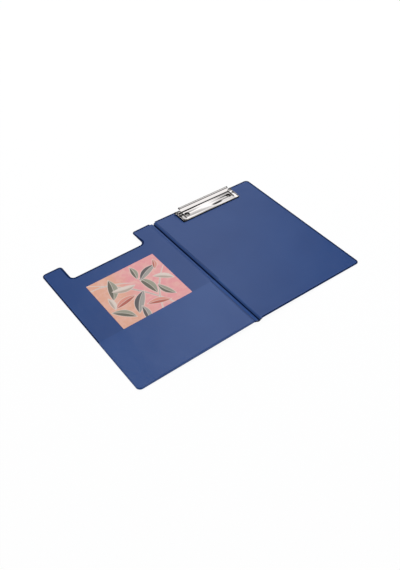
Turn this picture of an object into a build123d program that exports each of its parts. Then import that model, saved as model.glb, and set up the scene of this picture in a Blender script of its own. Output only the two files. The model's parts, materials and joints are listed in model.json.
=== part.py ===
"""Clipboard folder for A4 paper, lying open on a table.

Two boards sealed in PVC film are joined by a flexible welded gutter. The back board, on the +X side,
carries a sprung metal clip near its top edge. The front cover, on the -X side, has a notch that lets
the clip through when the folder is shut, and a pocket with a loose sheet on its inside.

Frame: millimetres, +Z up, +Y towards the clip's edge. The origin lies on the table under the gutter,
halfway up the boards.
"""

from build123d import *
from math import atan2, ceil, cos, pi, radians, sin, sqrt, tan
import os

# Panels: a stiff board between two films, welded in a flat seam round its free sides
panel_width = 230.0
panel_height = 320.0
panel_corner_radius = 8.0
board_thickness = 1.9
film_thickness = 0.35
seam_width = 1.6

# Gutter between the panels, with a tilt that lets it hang down to the table
gutter_width = 14.0
panel_tilt = 0.85
gutter_top_setback = 3.4
valley_radius = 4.0
fold_clearance = 0.4
fold_drop = 0.12

# Notch in the cover's top edge, between an outer tab and a tab beside the gutter
outer_tab_width = 39.6
inner_tab_width = 38.7
notch_depth = 41.0
tab_corner_radius = 6.0
notch_corner_radius = 8.0

# Pocket on the inside of the cover, and the loose sheet in it
pocket_height = 119.5
pocket_film_thickness = 0.25
sheet_width = 139.4
sheet_height = 240.0
sheet_thickness = 0.3
sheet_from_gutter = 42.0
sheet_above_edge = 4.0
sheet_side_play = 0.6
sheet_face_play = 0.1

# Clip, placed on the back board's inner face
clip_length = 137.4
clip_from_gutter = 111.9
clip_metal = 1.0
lip_from_top_edge = 37.6
lip_height = 0.3
rod_from_top_edge = 7.0
rod_height = 3.3
rod_diameter = 2.0
rod_play = 0.06
rod_head_diameter = 3.2
rod_head_thickness = 0.8
ear_radius = 2.0
ear_gap = 0.5

# Jaw plate, with its front bar bent down and its wings beside the slots
wing_width = 11.1
slot_width = 1.6
slot_from_lip = 6.0
front_bend_depth = 7.0
front_height = 1.6
front_corner_radius = 2.2
plate_slope = 2.0
plate_height_at_bend = 3.2
press_depth = 6.0
wing_end_from_rod = 3.0
wing_shoulder_radius = 1.9
access_hole_radius = 5.4

# Lever at the back of the jaw plate, with a rolled bead along its top
lever_metal = 0.8
lever_from_rod = 5.4
lever_lean = 59.0
lever_bend_radius = 1.6
lever_length = 9.2
lever_shoulder = 3.4
lever_flare = 2.4
bead_radius = 1.25
bead_turn = 285.0

# Base plate and its rivets
base_front_from_lip = 4.6
base_rear_from_rod = 4.4
base_corner_radius = 2.0
rivet_from_end = 17.7
rivet_from_lip = 14.3
rivet_shank_radius = 2.0
rivet_play = 0.05
rivet_head_radius = 4.2
rivet_head_height = 0.8
rivet_tail_radius = 3.4
rivet_tail_height = 0.7
rivet_dimple_radius = 1.3
rivet_dimple_depth = 1.2

# Torsion springs on the rod
spring_wire = 0.8
spring_wire_sides = 6
spring_mean_radius = 1.65
spring_turns = 3.25
spring_pitch = 1.35
spring_from_end = 41.7
spring_base_leg = 4.0
spring_lever_leg = 4.2

# Heights and places worked out from the sizes above
panel_thickness = board_thickness + 2 * film_thickness
seam_level = panel_thickness / 2
hinge_height = panel_width * sin(radians(panel_tilt))
half_height = panel_height / 2
tilt_cos = cos(radians(panel_tilt))
tilt_sin = sin(radians(panel_tilt))
notch_far = panel_width - outer_tab_width
notch_near = inner_tab_width
notch_bottom = half_height - notch_depth
pocket_top = pocket_height - half_height
plate_half_width = clip_length / 2 - wing_width
rivet_spacing = clip_length - 2 * rivet_from_end
spring_from_middle = clip_length / 2 - spring_from_end

# Each panel's plane lies on its underside, with x across, y towards the clip's edge and z inwards
back_plane = Plane(
    origin=(gutter_width / 2, 0, hinge_height),
    x_dir=(tilt_cos, 0, -tilt_sin),
    z_dir=(tilt_sin, 0, tilt_cos),
)
cover_plane = Plane(
    origin=(-gutter_width / 2, 0, hinge_height),
    x_dir=(tilt_cos, 0, tilt_sin),
    z_dir=(-tilt_sin, 0, tilt_cos),
)
clip_plane = Plane(
    origin=back_plane.from_local_coords((clip_from_gutter, half_height, panel_thickness)),
    x_dir=back_plane.x_dir,
    z_dir=back_plane.z_dir,
)

os.makedirs("parts", exist_ok=True)


def write(builder, label):
    """Label a finished piece and write it as its own STEP file."""
    builder.part.label = label
    export_step(builder.part, f"parts/{label}.step")


def back_outline(inset, hinge_inset):
    """The back panel's outline, drawn in on its free sides and at the gutter."""
    far = panel_width - inset
    top = half_height - inset
    corner = panel_corner_radius - inset
    with BuildSketch() as outline:
        with BuildLine():
            FilletPolyline(
                (hinge_inset, -top),
                (far, -top),
                (far, top),
                (hinge_inset, top),
                radius=[0, corner, corner, 0],
                close=True,
            )
        make_face()
    return outline.sketch


def cover_outline(inset, hinge_inset):
    """The cover's outline with its notch, drawn in on its free sides and at the gutter."""
    far = panel_width - inset
    top = half_height - inset
    corner = panel_corner_radius - inset
    tab_corner = tab_corner_radius - inset
    notch_corner = notch_corner_radius + inset
    with BuildSketch() as outline:
        with BuildLine():
            FilletPolyline(
                (-hinge_inset, -top),
                (-hinge_inset, top),
                (-notch_near + inset, top),
                (-notch_near + inset, notch_bottom - inset),
                (-notch_far - inset, notch_bottom - inset),
                (-notch_far - inset, top),
                (-far, top),
                (-far, -top),
                radius=[0, 0, tab_corner, notch_corner, notch_corner, tab_corner, corner, corner],
                close=True,
            )
        make_face()
    return outline.sketch


def drill_rivet_holes(radius):
    """Cut the two rivet holes out of a sketch on the back panel's plane."""
    row = half_height - lip_from_top_edge + rivet_from_lip
    middle = clip_from_gutter
    with Locations((middle - rivet_spacing / 2, row), (middle + rivet_spacing / 2, row)):
        Circle(radius, mode=Mode.SUBTRACT)


# Back board: the stiff core of the back panel
with BuildPart() as back_board:
    with BuildSketch(back_plane.offset(film_thickness)):
        add(back_outline(seam_width, film_thickness))
        drill_rivet_holes(rivet_shank_radius + rivet_play)
    extrude(amount=board_thickness)
write(back_board, "back_board")

# Cover board: the stiff core of the cover, with the clip's notch
with BuildPart() as cover_board:
    with BuildSketch(cover_plane.offset(film_thickness)):
        add(cover_outline(seam_width, film_thickness))
    extrude(amount=board_thickness)
write(cover_board, "cover_board")

# Films of the back panel: each wraps half of the board's edge and ends in the flat welded seam
with BuildPart() as back_outer_film:
    with BuildSketch(back_plane):
        add(back_outline(seam_width - film_thickness, 0))
        drill_rivet_holes(rivet_shank_radius + rivet_play)
    extrude(amount=seam_level)
    with BuildSketch(back_plane.offset(film_thickness)):
        add(back_outline(seam_width, film_thickness))
    extrude(amount=panel_thickness, mode=Mode.SUBTRACT)
    with BuildSketch(back_plane.offset(seam_level - film_thickness)):
        add(back_outline(0, 0))
        add(back_outline(seam_width, -panel_width), mode=Mode.SUBTRACT)
    extrude(amount=film_thickness)
write(back_outer_film, "back_outer_film")

with BuildPart() as back_inner_film:
    with BuildSketch(back_plane.offset(seam_level)):
        add(back_outline(seam_width - film_thickness, 0))
        drill_rivet_holes(rivet_shank_radius + rivet_play)
    extrude(amount=panel_thickness - seam_level)
    with BuildSketch(back_plane.offset(panel_thickness - film_thickness)):
        add(back_outline(seam_width, film_thickness))
    extrude(amount=-panel_thickness, mode=Mode.SUBTRACT)
    with BuildSketch(back_plane.offset(seam_level)):
        add(back_outline(0, 0))
        add(back_outline(seam_width, -panel_width), mode=Mode.SUBTRACT)
    extrude(amount=film_thickness)
write(back_inner_film, "back_inner_film")

# Films of the cover, made the same way round its notch
with BuildPart() as cover_outer_film:
    with BuildSketch(cover_plane):
        add(cover_outline(seam_width - film_thickness, 0))
    extrude(amount=seam_level)
    with BuildSketch(cover_plane.offset(film_thickness)):
        add(cover_outline(seam_width, film_thickness))
    extrude(amount=panel_thickness, mode=Mode.SUBTRACT)
    with BuildSketch(cover_plane.offset(seam_level - film_thickness)):
        add(cover_outline(0, 0))
        add(cover_outline(seam_width, 0), mode=Mode.SUBTRACT)
    extrude(amount=film_thickness)
write(cover_outer_film, "cover_outer_film")

with BuildPart() as cover_inner_film:
    with BuildSketch(cover_plane.offset(seam_level)):
        add(cover_outline(seam_width - film_thickness, 0))
    extrude(amount=panel_thickness - seam_level)
    with BuildSketch(cover_plane.offset(panel_thickness - film_thickness)):
        add(cover_outline(seam_width, film_thickness))
    extrude(amount=-panel_thickness, mode=Mode.SUBTRACT)
    with BuildSketch(cover_plane.offset(seam_level)):
        add(cover_outline(0, 0))
        add(cover_outline(seam_width, 0), mode=Mode.SUBTRACT)
    extrude(amount=film_thickness)
write(cover_inner_film, "cover_inner_film")

# Gutter: welded films that hang from the two fold lines down to the table
gutter_half = gutter_width / 2 - fold_clearance
gutter_layers = 2 * film_thickness + pocket_film_thickness
gutter_edge_height = hinge_height - fold_drop - gutter_layers
flank_angle = atan2(gutter_edge_height, gutter_half)
valley_rise = valley_radius * (1 / cos(flank_angle) - 1)


def make_gutter_layer(level, thickness, top_end):
    """Make one layer of the gutter, a rounded V that starts at level above the lowest film's underside."""
    edge = gutter_edge_height + level
    valley = level - valley_rise
    with BuildPart() as layer:
        with BuildSketch(Plane(origin=(0, top_end, 0), x_dir=(1, 0, 0), z_dir=(0, -1, 0))):
            with BuildLine():
                FilletPolyline((-gutter_half, edge), (0, valley), (gutter_half, edge), radius=valley_radius)
                Line((gutter_half, edge), (gutter_half, edge + thickness))
                FilletPolyline(
                    (gutter_half, edge + thickness),
                    (0, valley + thickness),
                    (-gutter_half, edge + thickness),
                    radius=valley_radius,
                )
                Line((-gutter_half, edge + thickness), (-gutter_half, edge))
            make_face()
        extrude(amount=top_end + half_height)
    return layer


gutter_end = half_height - gutter_top_setback
spine_outer_film = make_gutter_layer(0, film_thickness, gutter_end)
write(spine_outer_film, "spine_outer_film")

spine_inner_film = make_gutter_layer(film_thickness, film_thickness, gutter_end)
write(spine_inner_film, "spine_inner_film")

spine_pocket_film = make_gutter_layer(2 * film_thickness, pocket_film_thickness, pocket_top)
write(spine_pocket_film, "spine_pocket_film")

# Loose sheet, standing in the pocket
sheet_near = -sheet_from_gutter
sheet_far = sheet_near - sheet_width
sheet_bottom = sheet_above_edge - half_height
sheet_middle = ((sheet_near + sheet_far) / 2, sheet_bottom + sheet_height / 2)
with BuildPart() as pocket_sheet:
    with BuildSketch(cover_plane.offset(panel_thickness)):
        with Locations(sheet_middle):
            Rectangle(sheet_width, sheet_height)
    extrude(amount=sheet_thickness)
write(pocket_sheet, "pocket_sheet")

# Pocket film: flat on the inner film, raised over the sheet and open along its top edge
swell_width = sheet_width + 2 * sheet_side_play
swell_bottom = sheet_bottom - sheet_side_play
swell_rise = sheet_thickness + sheet_face_play
swell_middle_x = (sheet_near + sheet_far) / 2
with BuildPart() as pocket_film:
    with BuildSketch(cover_plane.offset(panel_thickness)):
        with BuildLine():
            FilletPolyline(
                (0, pocket_top),
                (-panel_width + seam_width, pocket_top),
                (-panel_width + seam_width, -half_height + seam_width),
                (0, -half_height + seam_width),
                radius=[0, 0, panel_corner_radius - seam_width, 0],
                close=True,
            )
        make_face()
    extrude(amount=pocket_film_thickness)
    with BuildSketch(cover_plane.offset(panel_thickness)):
        with Locations((swell_middle_x, pocket_top)):
            Rectangle(
                swell_width + 2 * pocket_film_thickness,
                pocket_top - swell_bottom + pocket_film_thickness,
                align=(Align.CENTER, Align.MAX),
            )
    extrude(amount=swell_rise + pocket_film_thickness)
    with BuildSketch(cover_plane.offset(panel_thickness)):
        with Locations((swell_middle_x, pocket_top)):
            Rectangle(swell_width, pocket_top - swell_bottom, align=(Align.CENTER, Align.MAX))
    extrude(amount=swell_rise, mode=Mode.SUBTRACT)
write(pocket_film, "pocket_film")

# Clip: places along and across it, in the clip's plane, whose origin is on the board's top edge
half_length = clip_length / 2
lip_y = -lip_from_top_edge
rod_y = -rod_from_top_edge
rivet_y = lip_y + rivet_from_lip
bend_y = lip_y + front_bend_depth
crease_y = rod_y - lever_from_rod
wing_end_y = rod_y - wing_end_from_rod
slope_tan = tan(radians(plate_slope))


def plate_top(y):
    """Height of the jaw plate's upper face above the board at a place behind its front bend."""
    return plate_height_at_bend + (y - bend_y) * slope_tan


def cheek_edge(y):
    """Height of the lower edge of the jaw's cheeks above the board."""
    return lip_height + (y - lip_y) * slope_tan


def across(x):
    """Plane across the clip at x, with its own x towards the clip's back and its own y up."""
    return Plane(
        origin=clip_plane.from_local_coords((x, 0, 0)),
        x_dir=clip_plane.y_dir,
        z_dir=clip_plane.x_dir,
    )


def on_clip(x, y, height):
    """A point given in the clip's plane, as a point of the whole object."""
    return clip_plane.from_local_coords((x, y, height))


def to_row(direction):
    """Turn a direction in the clip's plane into a direction of the whole object."""
    return on_clip(*direction) - on_clip(0, 0, 0)


# Base plate: riveted flat on the board, with an upturned ear at each end for the rod
base_half = half_length - clip_metal - ear_gap
base_front = lip_y + base_front_from_lip
base_rear = rod_y + base_rear_from_rod
with BuildPart() as clip_base:
    with BuildSketch(clip_plane):
        with Locations((0, (base_front + base_rear) / 2)):
            RectangleRounded(2 * base_half, base_rear - base_front, base_corner_radius)
        with Locations((-rivet_spacing / 2, rivet_y), (rivet_spacing / 2, rivet_y)):
            Circle(rivet_shank_radius + rivet_play, mode=Mode.SUBTRACT)
    extrude(amount=clip_metal)
    for ear_x in (-base_half, base_half - clip_metal):
        with BuildSketch(across(ear_x)):
            with Locations((rod_y, rod_height)):
                Circle(ear_radius)
            with Locations((rod_y, rod_height / 2)):
                Rectangle(2 * ear_radius, rod_height)
        extrude(amount=clip_metal)
    with BuildSketch(across(-half_length)):
        with Locations((rod_y, rod_height)):
            Circle(rod_diameter / 2 + rod_play)
    extrude(amount=clip_length, mode=Mode.SUBTRACT)
write(clip_base, "clip_base")

# Jaw: one pressed plate, from its front lip over the sloping plate to the lever's rolled bead
wing_inner = plate_half_width + slot_width
crease_height = plate_top(crease_y) - clip_metal / 2
lever_foot = crease_y - 2 * lever_bend_radius
lever_dir = Vector(cos(radians(lever_lean)), sin(radians(lever_lean)))
lever_top = Vector(crease_y, crease_height) + lever_dir * lever_length
lever_waist = Vector(crease_y, crease_height) + lever_dir * lever_shoulder
bead_centre = lever_top + Vector(lever_dir.Y, -lever_dir.X) * bead_radius
across_axis = Axis(clip_plane.origin, clip_plane.x_dir)
along_axis = Axis(clip_plane.origin, clip_plane.y_dir)
up_axis = Axis(clip_plane.origin, clip_plane.z_dir)
with BuildPart() as clip_jaw:
    # Pressed tray: a block with rounded corners and shoulders, hollowed from below and behind
    with BuildSketch(across(-half_length)):
        with BuildLine():
            Line((wing_end_y, plate_top(wing_end_y)), (bend_y, plate_height_at_bend))
            TangentArc((bend_y, plate_height_at_bend), (lip_y, front_height), tangent=(-1, -slope_tan))
            Polyline(
                (lip_y, front_height),
                (lip_y, -press_depth),
                (wing_end_y, -press_depth),
                (wing_end_y, plate_top(wing_end_y)),
            )
        make_face()
    extrude(amount=clip_length)
    for end_face in (clip_jaw.faces().sort_by(across_axis)[0], clip_jaw.faces().sort_by(across_axis)[-1]):
        fillet(end_face.edges().sort_by(along_axis)[0], front_corner_radius)
    upper = clip_jaw.edges().filter_by_position(up_axis, 0, lip_from_top_edge)
    left_edges = upper.filter_by_position(across_axis, -half_length, -plate_half_width)
    right_edges = upper.filter_by_position(across_axis, plate_half_width, half_length)
    fillet([upper.sort_by(along_axis)[0]] + left_edges + right_edges, wing_shoulder_radius)
    below = clip_jaw.faces().sort_by(up_axis)[0]
    behind = clip_jaw.faces().sort_by(along_axis)[-1]
    offset(amount=-clip_metal, openings=[below, behind])
    # Its lower edge runs just above the board at the lip, and rises with the plate behind it
    with BuildSketch(across(-half_length)):
        with BuildLine():
            Polyline(
                (lip_y, lip_height),
                (wing_end_y, cheek_edge(wing_end_y)),
                (wing_end_y, -press_depth),
                (lip_y, -press_depth),
                close=True,
            )
        make_face()
    extrude(amount=clip_length, mode=Mode.SUBTRACT)
    # The plate's rear is cut away between the wings, and a slot runs forward beside each wing
    with BuildSketch(clip_plane):
        with Locations((0, crease_y)):
            Rectangle(2 * wing_inner, lip_from_top_edge, align=(Align.CENTER, Align.MIN))
        for slot_x in (-wing_inner + slot_width / 2, wing_inner - slot_width / 2):
            with Locations((slot_x, lip_y + slot_from_lip + slot_width / 2)):
                Circle(slot_width / 2)
                Rectangle(slot_width, lip_from_top_edge, align=(Align.CENTER, Align.MIN))
        with Locations((-rivet_spacing / 2, rivet_y), (rivet_spacing / 2, rivet_y)):
            Circle(access_hole_radius)
    extrude(amount=lip_from_top_edge, mode=Mode.SUBTRACT)
    # Ears: each carries a wing's cheek back to the rod
    cheek_top = plate_top(wing_end_y) - wing_shoulder_radius
    cheek_half = (cheek_top - cheek_edge(wing_end_y)) / 2
    for ear_x in (-half_length, half_length - clip_metal):
        with BuildSketch(across(ear_x)):
            with Locations((rod_y, rod_height)):
                Circle(ear_radius)
            with Locations((wing_end_y - cheek_half, cheek_top - cheek_half)):
                Circle(cheek_half)
            make_hull()
        extrude(amount=clip_metal)
    # Lever: bent up from the plate's rear edge and rolled over into a hollow bead
    with BuildSketch(across(-plate_half_width)):
        with BuildLine():
            FilletPolyline(
                (lever_foot, plate_top(lever_foot) - clip_metal / 2),
                (crease_y, crease_height),
                lever_top,
                radius=lever_bend_radius,
            )
            CenterArc(bead_centre, bead_radius, lever_lean + 90, -bead_turn)
        trace(line_width=lever_metal)
    extrude(amount=2 * plate_half_width)
    # Above the wings the lever is a little wider than the plate that it is bent up from
    for side_x in (-plate_half_width - lever_flare, plate_half_width):
        with BuildSketch(across(side_x)):
            with BuildLine():
                Line(lever_waist, lever_top)
                CenterArc(bead_centre, bead_radius, lever_lean + 90, -bead_turn)
            trace(line_width=lever_metal)
        extrude(amount=lever_flare)
    # Bore through both ears for the rod
    with BuildSketch(across(-half_length)):
        with Locations((rod_y, rod_height)):
            Circle(rod_diameter / 2 + rod_play)
    extrude(amount=clip_length, mode=Mode.SUBTRACT)
write(clip_jaw, "clip_jaw")

# Pivot rod: through the jaw's and the base's ears, headed at both ends
with BuildPart() as clip_rod:
    with BuildSketch(across(-half_length - rod_play)):
        with Locations((rod_y, rod_height)):
            Circle(rod_diameter / 2)
    extrude(amount=clip_length + 2 * rod_play)
    for head_x in (-half_length - rod_play - rod_head_thickness, half_length + rod_play):
        with BuildSketch(across(head_x)):
            with Locations((rod_y, rod_height)):
                Circle(rod_head_diameter / 2)
        extrude(amount=rod_head_thickness)
write(clip_rod, "clip_rod")


def make_rivet(x):
    """Turn a rivet at x: a domed head on the base plate, a shank and a rolled, dimpled tail."""
    section = Plane(
        origin=on_clip(x, rivet_y, clip_metal), x_dir=clip_plane.x_dir, z_dir=-clip_plane.y_dir
    )
    grip = clip_metal + panel_thickness
    with BuildPart() as rivet:
        with BuildSketch(section):
            with BuildLine():
                Polyline(
                    (0, rivet_head_height),
                    (0, rivet_dimple_depth - grip - rivet_tail_height),
                    (rivet_dimple_radius, -grip - rivet_tail_height),
                    (rivet_tail_radius - rivet_tail_height / 2, -grip - rivet_tail_height),
                    (rivet_tail_radius, -grip - rivet_tail_height / 2),
                    (rivet_tail_radius, -grip),
                    (rivet_shank_radius, -grip),
                    (rivet_shank_radius, 0),
                    (rivet_head_radius, 0),
                )
                TangentArc((0, rivet_head_height), (rivet_head_radius, 0), tangent=(1, 0))
            make_face()
        revolve(axis=Axis(section.origin, section.y_dir))
    return rivet


for side, label in ((-1, "clip_rivet_left"), (1, "clip_rivet_right")):
    write(make_rivet(side * rivet_spacing / 2), label)


def spring_point(side, angle):
    """Point and direction of the coil's centre line; the coil starts under the rod and winds forward."""
    start = spring_from_middle - spring_pitch * spring_turns / 2
    x = side * (start + spring_pitch * angle / (2 * pi))
    place = Vector(x, rod_y - spring_mean_radius * sin(angle), rod_height - spring_mean_radius * cos(angle))
    advance = side * spring_pitch / (2 * pi)
    heading = Vector(
        advance, -spring_mean_radius * cos(angle), spring_mean_radius * sin(angle)
    ).normalized()
    return place, heading


def coil_corners(side):
    """Ends and middle points of the coil's arcs, two arcs to each half turn."""
    total = 2 * pi * spring_turns
    spans = ceil(total / pi)
    corners = []
    for i in range(spans):
        here, heading = spring_point(side, total * i / spans)
        there, arriving = spring_point(side, total * (i + 1) / spans)
        chord = there - here
        along = chord.dot(heading + arriving)
        spread = 2 * (1 - heading.dot(arriving))
        reach = (-along + sqrt(along**2 + spread * chord.dot(chord))) / spread
        first = here + heading * reach
        second = there - arriving * reach
        corners.append((here, heading, (first + second) * 0.5, (second - first).normalized(), there))
    return corners


def make_spring(side):
    """Sweep a torsion spring's faceted wire: a leg on the base plate, the coil, a leg behind the lever."""
    corners = coil_corners(side)
    begin, heading = spring_point(side, 0)
    finish, leaving = spring_point(side, 2 * pi * spring_turns)
    with BuildPart() as spring:
        with BuildLine() as path:
            Line(on_clip(*(begin - heading * spring_base_leg)), on_clip(*begin))
            for here, out, middle, onward, there in corners:
                TangentArc(on_clip(*here), on_clip(*middle), tangent=to_row(out))
                TangentArc(on_clip(*middle), on_clip(*there), tangent=to_row(onward))
            Line(on_clip(*finish), on_clip(*(finish + leaving * spring_lever_leg)))
        with BuildSketch(Plane(origin=path.line @ 0, z_dir=path.line % 0)):
            RegularPolygon(spring_wire / 2, spring_wire_sides)
        sweep(path=path.line)
    return spring


def least_spring_gap(side):
    """Least distance between the coil's turns, from wire surface to wire surface."""
    steps = 24
    total = round(steps * spring_turns)
    places = [spring_point(side, 2 * pi * i / steps)[0] for i in range(total + 1)]
    gaps = []
    for i in range(total + 1):
        for j in range(i + steps // 2, total + 1):
            gaps.append((places[i] - places[j]).length - spring_wire)
    return min(gaps)


for side, label in ((-1, "clip_spring_left"), (1, "clip_spring_right")):
    write(make_spring(side), label)
print("least gap between the springs' turns", round(least_spring_gap(1), 3), "mm")
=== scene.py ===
import json
from math import cos, pi, radians, sin

import bpy
import numpy as np
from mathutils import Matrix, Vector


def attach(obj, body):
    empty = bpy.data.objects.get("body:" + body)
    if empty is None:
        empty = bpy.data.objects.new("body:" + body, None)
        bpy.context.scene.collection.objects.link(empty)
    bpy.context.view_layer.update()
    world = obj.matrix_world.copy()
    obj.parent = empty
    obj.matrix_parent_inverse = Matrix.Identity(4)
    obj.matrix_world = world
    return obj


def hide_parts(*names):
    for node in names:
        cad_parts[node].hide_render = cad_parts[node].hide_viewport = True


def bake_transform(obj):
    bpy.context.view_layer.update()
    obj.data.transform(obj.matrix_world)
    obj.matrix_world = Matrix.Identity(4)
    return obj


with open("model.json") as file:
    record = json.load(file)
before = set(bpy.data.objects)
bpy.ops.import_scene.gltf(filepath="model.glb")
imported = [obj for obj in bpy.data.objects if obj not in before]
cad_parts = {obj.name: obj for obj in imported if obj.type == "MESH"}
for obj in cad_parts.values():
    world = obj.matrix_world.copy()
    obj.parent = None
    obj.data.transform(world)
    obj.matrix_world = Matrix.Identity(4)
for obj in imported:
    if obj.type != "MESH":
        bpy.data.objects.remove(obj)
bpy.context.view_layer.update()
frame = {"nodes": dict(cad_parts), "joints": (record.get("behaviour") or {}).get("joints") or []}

# Boards: two stiff grey boards, die-cut with rounded corners, the cover's with a notch for the clip.
# They are sealed inside the film, so only their thickness shows through it.
board_dark = (0.34, 0.31, 0.27, 1)
board_light = (0.52, 0.49, 0.44, 1)


def new_group(name, inputs, outputs):
    """An empty shader node group with float, colour or vector sockets, and its two end nodes."""
    group = bpy.data.node_groups.new(name, "ShaderNodeTree")
    for label, kind, default in inputs:
        socket = group.interface.new_socket(label, in_out="INPUT", socket_type="NodeSocket" + kind)
        if default is not None:
            socket.default_value = default
    for label, kind in outputs:
        group.interface.new_socket(label, in_out="OUTPUT", socket_type="NodeSocket" + kind)
    return group, group.nodes.new("NodeGroupInput"), group.nodes.new("NodeGroupOutput")


def plug(tree, made, links):
    """Set a node's inputs to values, or link them to other sockets."""
    for place, value in dict(links).items():
        if isinstance(value, bpy.types.NodeSocket):
            tree.links.new(value, made.inputs[place])
        else:
            made.inputs[place].default_value = value


def node(tree, kind, links=(), **settings):
    """A new shader node with its settings, and its inputs set to values or linked to other sockets."""
    made = tree.nodes.new("ShaderNode" + kind)
    for name, value in settings.items():
        setattr(made, name, value)
    plug(tree, made, links)
    return made


def blend_colour(tree, share, below, above, mode="MIX"):
    """The colour below, changed to the colour above by share."""
    mix = node(tree, "Mix", {"Factor": share, 6: below, 7: above}, data_type="RGBA", blend_type=mode)
    return mix.outputs[2]


def bump_normal(tree, height, strength, distance, under=None, **settings):
    """The normal of a bumped surface, on top of another normal where one is given."""
    links = {"Height": height, "Strength": strength, "Distance": distance}
    if under is not None:
        links["Normal"] = under
    return node(tree, "Bump", links, **settings).outputs["Normal"]


def new_material(name):
    """An empty node material, with its Principled BSDF."""
    material = bpy.data.materials.new(name)
    material.use_nodes = True
    return material, material.node_tree, material.node_tree.nodes["Principled BSDF"]


def paint_node(cad_name, material):
    """Give a CAD node a material in place of its packed one."""
    slots = frame["nodes"][cad_name].data.materials
    slots.clear()
    slots.append(material)


def make_speckle_group():
    """Two sizes of noise on object coordinates: Mask for broad drift, Grain for fine height and speckle."""
    group, ends_in, ends_out = new_group(
        "speckle",
        [("Drift Scale", "Float", 10.0), ("Grain Scale", "Float", 2000.0), ("Grain Detail", "Float", 3.0)],
        [("Mask", "Float"), ("Grain", "Float")],
    )
    place = node(group, "TexCoord").outputs["Object"]
    drift_scale, grain_scale, grain_detail = (
        ends_in.outputs[label] for label in ("Drift Scale", "Grain Scale", "Grain Detail")
    )
    drift = node(group, "TexNoise", {"Vector": place, "Scale": drift_scale, "Detail": 2.0})
    grain = node(
        group, "TexNoise", {"Vector": place, "Scale": grain_scale, "Detail": grain_detail, "Roughness": 0.6}
    )
    plug(group, ends_out, {"Mask": drift.outputs["Fac"], "Grain": grain.outputs["Fac"]})
    return group


def speckle_node(tree, drift_scale, grain_scale, grain_detail=3.0):
    """The speckle group placed in a material with its own values."""
    values = {"Drift Scale": drift_scale, "Grain Scale": grain_scale, "Grain Detail": grain_detail}
    return node(tree, "Group", values, node_tree=speckle)


speckle = make_speckle_group()
greyboard, tree, shader = new_material("greyboard")
fibres = speckle_node(tree, drift_scale=30.0, grain_scale=1500.0).outputs["Grain"]
board_look = {
    "Base Color": blend_colour(tree, fibres, board_dark, board_light),
    "Normal": bump_normal(tree, fibres, strength=0.3, distance=0.0002),
    "Roughness": 0.9,
}
plug(tree, shader, board_look)
paint_node("back_board", greyboard)
paint_node("cover_board", greyboard)

# Back panel's films: blue PVC sheet, 0.35 mm thick, above and below the board. They are welded together
# by a hot tool in a flat seam round the free sides, and run on over the gutter at the fourth side.
panel_width = 0.230
half_height = 0.160
panel_corner = 0.008
film = 0.00035
panel_thickness = 0.0026
tilt = radians(0.85)
seam_level = panel_thickness / 2
seam_end = 0.0014
board_inset = 0.0016
weld_width = 0.0044
narrow_weld_width = 0.0022
rim_flat = 0.0050
flat_overlap = 0.0006
fall_end = 0.0019
fall_width = 0.0010
lip_radius = 0.0002
outer_face_limit = 0.00002
sharp_angle = radians(35)
fold_x, _, fold_z = next(j["pos_m"] for j in frame["joints"] if j["name"] == "spine_hinge")
arc_steps = 14
fall_rows = 9
lip_rows = 5
blue_slot, weld_slot, smooth_lit_slot, edge_slot = range(4)
film_specular = 0.68
weld_specular = 0.15
drift_range = (0.3, 0.7)
grain_dip = 0.05
grain_rise = 0.07
groove_depth = 0.0006
# The seam's blues: partly the seam's own dark and partly painted shade along the panel's edge.
weld_and_shade_dark = (0.003, 0.014, 0.062, 1)
weld_and_shade_light = (0.006, 0.023, 0.092, 1)
# The gutter's bottom and the grooves beside it are darkened with painted shade; the grooves are bumped too.
gutter_shade_colour = (0.0004, 0.010, 0.058, 1)
# A groove is its middle, its half width and where it has faded; the rest are the two ends of a soft step.
gutter_reach = (0.0080, 0.0072)
gutter_depth = (0.0046, 0.0028)
pocket_start = (-0.0400, -0.0420)
pocket_groove = (-0.0080, 0.0008, 0.0016)
bare_groove = (-0.0056, 0.0002, 0.0012)
bare_groove_share = 0.45
back_groove = (0.0066, 0.0002, 0.0009)
back_groove_start = (-0.0410, -0.0400)
groove_shade_share = 0.5


def on_panel(side, across, along, height):
    """Points on a panel as an (n, 3) array: across from the fold, along it, height off the outer face."""
    across, along, height = np.broadcast_arrays(across, along, height)
    x = fold_x + across * cos(tilt) + height * sin(tilt)
    z = fold_z - across * sin(tilt) + height * cos(tilt)
    return np.stack([side * x, along, z], axis=-1)


def rim_arcs(corners):
    """Centres, radii, signs and directions round an outline whose corners are arcs.

    A corner is its arc's centre, its radius, +1 where it bulges outwards or -1 where it is a hollow,
    and the first and last angle in degrees. A square corner has no radius and one direction.
    """
    centres, radii, signs, directions = [], [], [], []
    for centre, radius, sign, first, last in corners:
        count = arc_steps if radius else 1
        angles = np.radians(np.linspace(first, last, count))
        centres.append(np.tile(centre, (count, 1)))
        radii.append(np.full(count, radius))
        signs.append(np.full(count, sign))
        directions.append(np.stack([np.cos(angles), np.sin(angles)], axis=-1))
    return tuple(np.concatenate(part) for part in (centres, radii, signs, directions))


def rim_at(rim, inset):
    """The outline drawn in by inset: each point stays on its arc's ray, at its radius less the inset."""
    centres, radii, signs, directions = rim
    return centres + (radii - signs * inset)[:, None] * directions


def new_piece(name, points, faces):
    """A mesh object from arrays of points and faces, smooth but for the edges past the sharp angle."""
    mesh = bpy.data.meshes.new(name)
    mesh.from_pydata(np.asarray(points).reshape(-1, 3), [], faces)
    mesh.polygons.foreach_set("use_smooth", np.ones(len(mesh.polygons), bool))
    mesh.set_sharp_from_angle(angle=sharp_angle)
    piece = bpy.data.objects.new(name, mesh)
    bpy.context.scene.collection.objects.link(piece)
    return piece


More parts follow.
